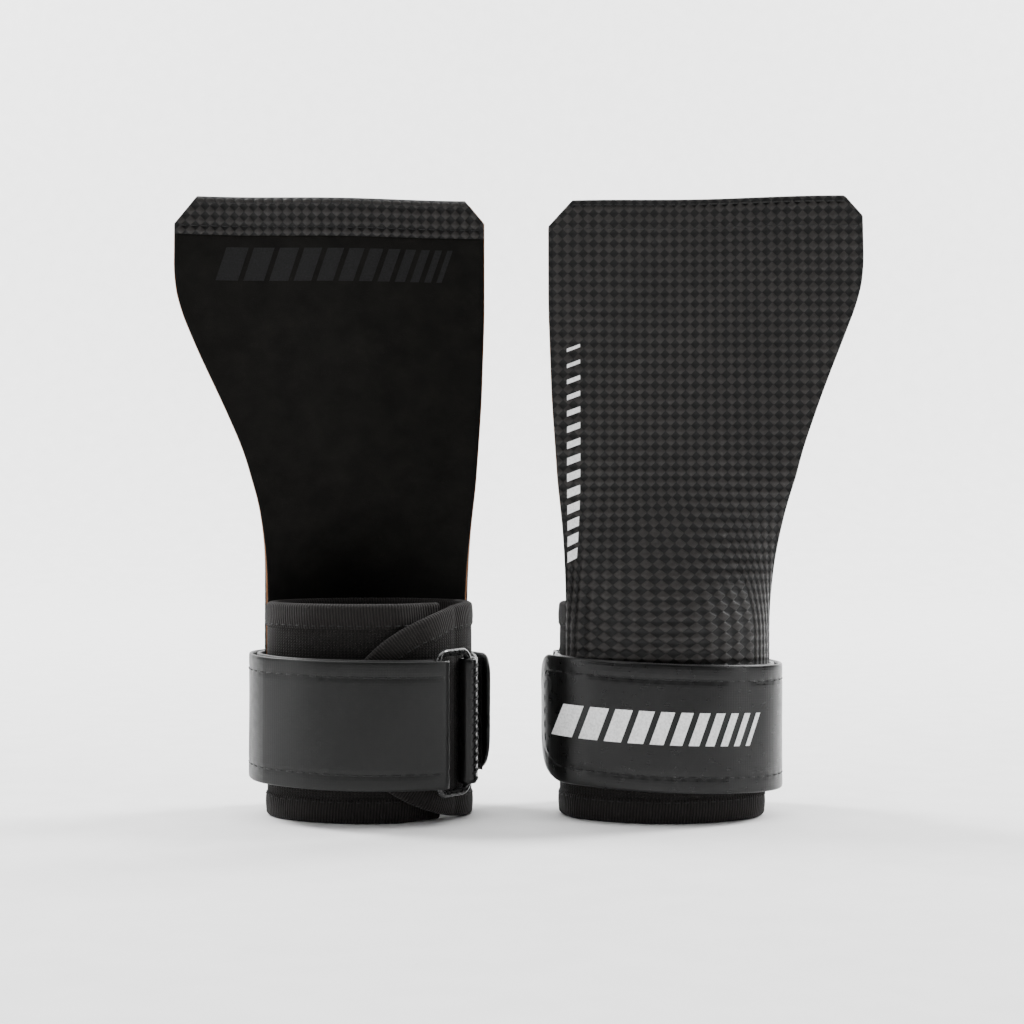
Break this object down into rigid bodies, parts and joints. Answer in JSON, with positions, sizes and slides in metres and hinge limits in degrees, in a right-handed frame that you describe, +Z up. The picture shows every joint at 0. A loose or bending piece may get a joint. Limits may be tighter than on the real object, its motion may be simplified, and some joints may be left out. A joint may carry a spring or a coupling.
{
  "type": "gymnastics hand grips",
  "caption": "Fingerless hand grips for bar work: flat palm leaves on padded wristbands, each closed by a strap that passes through a wire ring and back onto hook and loop.",
  "frame": {"origin": "middle of the pair's bounding box on the plane that both wristbands stand on", "axes": "+Z up from the wristbands to the leaves' top edges; +X along the line of the two grips, from the one shown lining side out to the one shown palm side out; +Y towards the back of the wrist on the grip at +X"},
  "size_m": [0.228, 0.0706, 0.2024],
  "materials": {
    "coated_face": "satin black coated leather, embossed like a woven fibre cloth",
    "core": "raw brown cut edge",
    "lining": "matt black microsuede",
    "jersey": "matt black knit",
    "foam": "closed-cell foam rubber, covered",
    "binding": "matt black ribbed knit tape",
    "strap_tape": "smooth black coated strap, satin",
    "hook_and_loop": "black hook and loop tape",
    "ring_metal": "gloss black lacquered wire"
  },
  "bodies": {
    "left_cuff": {"left_band_lining": "jersey", "left_band_foam": "foam", "left_band_cover": "jersey", "left_lower_binding": "binding", "left_upper_binding": "binding", "left_lining_lower": "lining", "left_core_lower": "core", "left_face_lower": "coated_face", "left_strap_run": "strap_tape", "left_loop_tape": "hook_and_loop", "left_keeper": "strap_tape"},
    "left_leaf": {"left_lining_upper": "lining", "left_core_upper": "core", "left_face_upper": "coated_face", "left_top_hem": "coated_face"},
    "left_strap_end": {"left_strap_end": "strap_tape", "left_hook_tape": "hook_and_loop"},
    "left_ring": {"left_ring": "ring_metal"},
    "right_cuff": {"right_band_lining": "jersey", "right_band_foam": "foam", "right_band_cover": "jersey", "right_lower_binding": "binding", "right_upper_binding": "binding", "right_lining_lower": "lining", "right_core_lower": "core", "right_face_lower": "coated_face", "right_strap_run": "strap_tape", "right_loop_tape": "hook_and_loop", "right_keeper": "strap_tape"},
    "right_leaf": {"right_lining_upper": "lining", "right_core_upper": "core", "right_face_upper": "coated_face", "right_top_hem": "coated_face"},
    "right_strap_end": {"right_strap_end": "strap_tape", "right_hook_tape": "hook_and_loop"},
    "right_ring": {"right_ring": "ring_metal"}
  },
  "joints": [
    {"name": "left_palm_fold", "type": "hinge", "parent": "left_cuff", "child": "left_leaf", "pos_m": [-0.0482, 0.017, 0.112], "axis": [-1, 0, 0], "range_deg": [-20, 100]},
    {"name": "left_strap_peel", "type": "hinge", "parent": "left_cuff", "child": "left_strap_end", "pos_m": [-0.08696, 0.00642, 0.032], "axis": [0, 0, 1], "range_deg": [0, 100]},
    {"name": "left_ring_swing", "type": "hinge", "parent": "left_cuff", "child": "left_ring", "pos_m": [-0.01552, -0.01299, 0.032], "axis": [0, 0, 1], "range_deg": [-3, 3]},
    {"name": "right_palm_fold", "type": "hinge", "parent": "right_cuff", "child": "right_leaf", "pos_m": [0.0482, -0.017, 0.112], "axis": [1, 0, 0], "range_deg": [-20, 100]},
    {"name": "right_strap_peel", "type": "hinge", "parent": "right_cuff", "child": "right_strap_end", "pos_m": [0.08696, -0.00642, 0.032], "axis": [0, 0, 1], "range_deg": [0, 100]},
    {"name": "right_ring_swing", "type": "hinge", "parent": "right_cuff", "child": "right_ring", "pos_m": [0.01552, 0.01299, 0.032], "axis": [0, 0, 1], "range_deg": [-3, 3]},
    {"name": "grips_apart", "type": "slide", "parent": "left_cuff", "child": "right_cuff", "axis": [1, 0, 0], "range_m": [0, 0.08]}
  ]
}
